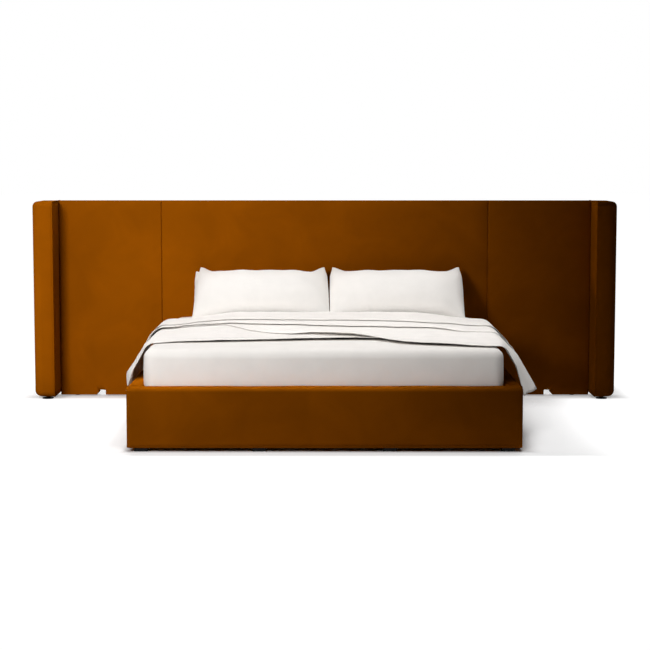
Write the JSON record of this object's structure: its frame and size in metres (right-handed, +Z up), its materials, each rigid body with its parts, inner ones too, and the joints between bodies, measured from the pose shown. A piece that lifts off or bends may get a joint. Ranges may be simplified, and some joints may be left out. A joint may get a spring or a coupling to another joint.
{
  "type": "upholstered bed",
  "caption": "Low velvet-upholstered bed with a very wide winged headboard, slatted base, mattress, pillows and draped white bedding; the wings stand on screw levellers.",
  "frame": {"origin": "on the floor, below the middle of the whole bed with its headboard", "axes": "+X to the right of someone who looks at the footboard, +Y from the footboard to the headboard, +Z up"},
  "size_m": [3.7344, 2.224, 1.28],
  "materials": {
    "velvet": "cut velvet, ochre brown",
    "foam": "open-cell upholstery foam",
    "timber": "sawn softwood and plywood, unfinished",
    "dust_cloth": "non-woven dust cloth, black",
    "bracket_steel": "black powder coat",
    "zinc_steel": "zinc plated",
    "black_plastic": "moulded, matt",
    "ticking": "mattress ticking",
    "white_sheet": "white percale cotton",
    "white_coverlet": "white woven cotton",
    "white_pillow": "white sateen pillowcase"
  },
  "bodies": {
    "bed_frame": {"headboard_center_core": "timber", "headboard_center_foam": "foam", "headboard_center_cover": "velvet", "headboard_left_core": "timber", "headboard_left_foam": "foam", "headboard_left_cover": "velvet", "headboard_right_core": "timber", "headboard_right_foam": "foam", "headboard_right_cover": "velvet", "wing_left_core": "timber", "wing_left_foam": "foam", "wing_left_cover": "velvet", "side_rail_left_core": "timber", "side_rail_left_foam": "foam", "side_rail_left_cover": "velvet", "slat_ledger_left": "timber", "pillow_front_left": "white_pillow", "pillow_back_left": "white_pillow", "wing_right_core": "timber", "wing_right_foam": "foam", "wing_right_cover": "velvet", "side_rail_right_core": "timber", "side_rail_right_foam": "foam", "side_rail_right_cover": "velvet", "slat_ledger_right": "timber", "pillow_front_right": "white_pillow", "pillow_back_right": "white_pillow", "footboard_core": "timber", "footboard_foam": "foam", "footboard_cover": "velvet", "head_rail": "timber", "center_beam": "timber", "center_legs": "timber", "corner_brackets": "bracket_steel", "frame_bolts": "zinc_steel", "headboard_back_cloth": "dust_cloth", "headboard_join_plates": "bracket_steel", "headboard_join_bolts": "zinc_steel", "headboard_feet": "black_plastic", "leveller_nuts": "zinc_steel", "base_feet": "black_plastic", "mattress": "ticking", "fitted_sheet": "white_sheet", "flat_sheet": "white_sheet", "coverlet": "white_coverlet", "slat_01": "timber", "slat_02": "timber", "slat_03": "timber", "slat_04": "timber", "slat_05": "timber", "slat_06": "timber", "slat_07": "timber", "slat_08": "timber", "slat_09": "timber", "slat_10": "timber", "slat_11": "timber"},
    "leveller_foot_left": {"leveller_pad_left": "black_plastic"},
    "leveller_screw_left": {"leveller_stem_left": "zinc_steel"},
    "leveller_foot_right": {"leveller_pad_right": "black_plastic"},
    "leveller_screw_right": {"leveller_stem_right": "zinc_steel"}
  },
  "joints": [
    {"name": "leveller_slide_left", "type": "slide", "parent": "bed_frame", "child": "leveller_foot_left", "axis": [0, 0, -1], "range_m": [0, 0.012]},
    {"name": "leveller_turn_left", "type": "hinge", "parent": "leveller_foot_left", "child": "leveller_screw_left", "pos_m": [-1.7992, 0.92, 0.03], "axis": [0, 0, -1], "range_deg": [0, 2880]},
    {"name": "leveller_slide_right", "type": "slide", "parent": "bed_frame", "child": "leveller_foot_right", "axis": [0, 0, -1], "range_m": [0, 0.012]},
    {"name": "leveller_turn_right", "type": "hinge", "parent": "leveller_foot_right", "child": "leveller_screw_right", "pos_m": [1.7992, 0.92, 0.03], "axis": [0, 0, -1], "range_deg": [0, 2880]}
  ],
  "couplings": [
    {"joint": "leveller_turn_left", "follows": "leveller_slide_left", "rad_per_m": 4188.8},
    {"joint": "leveller_turn_right", "follows": "leveller_slide_right", "rad_per_m": 4188.8}
  ]
}
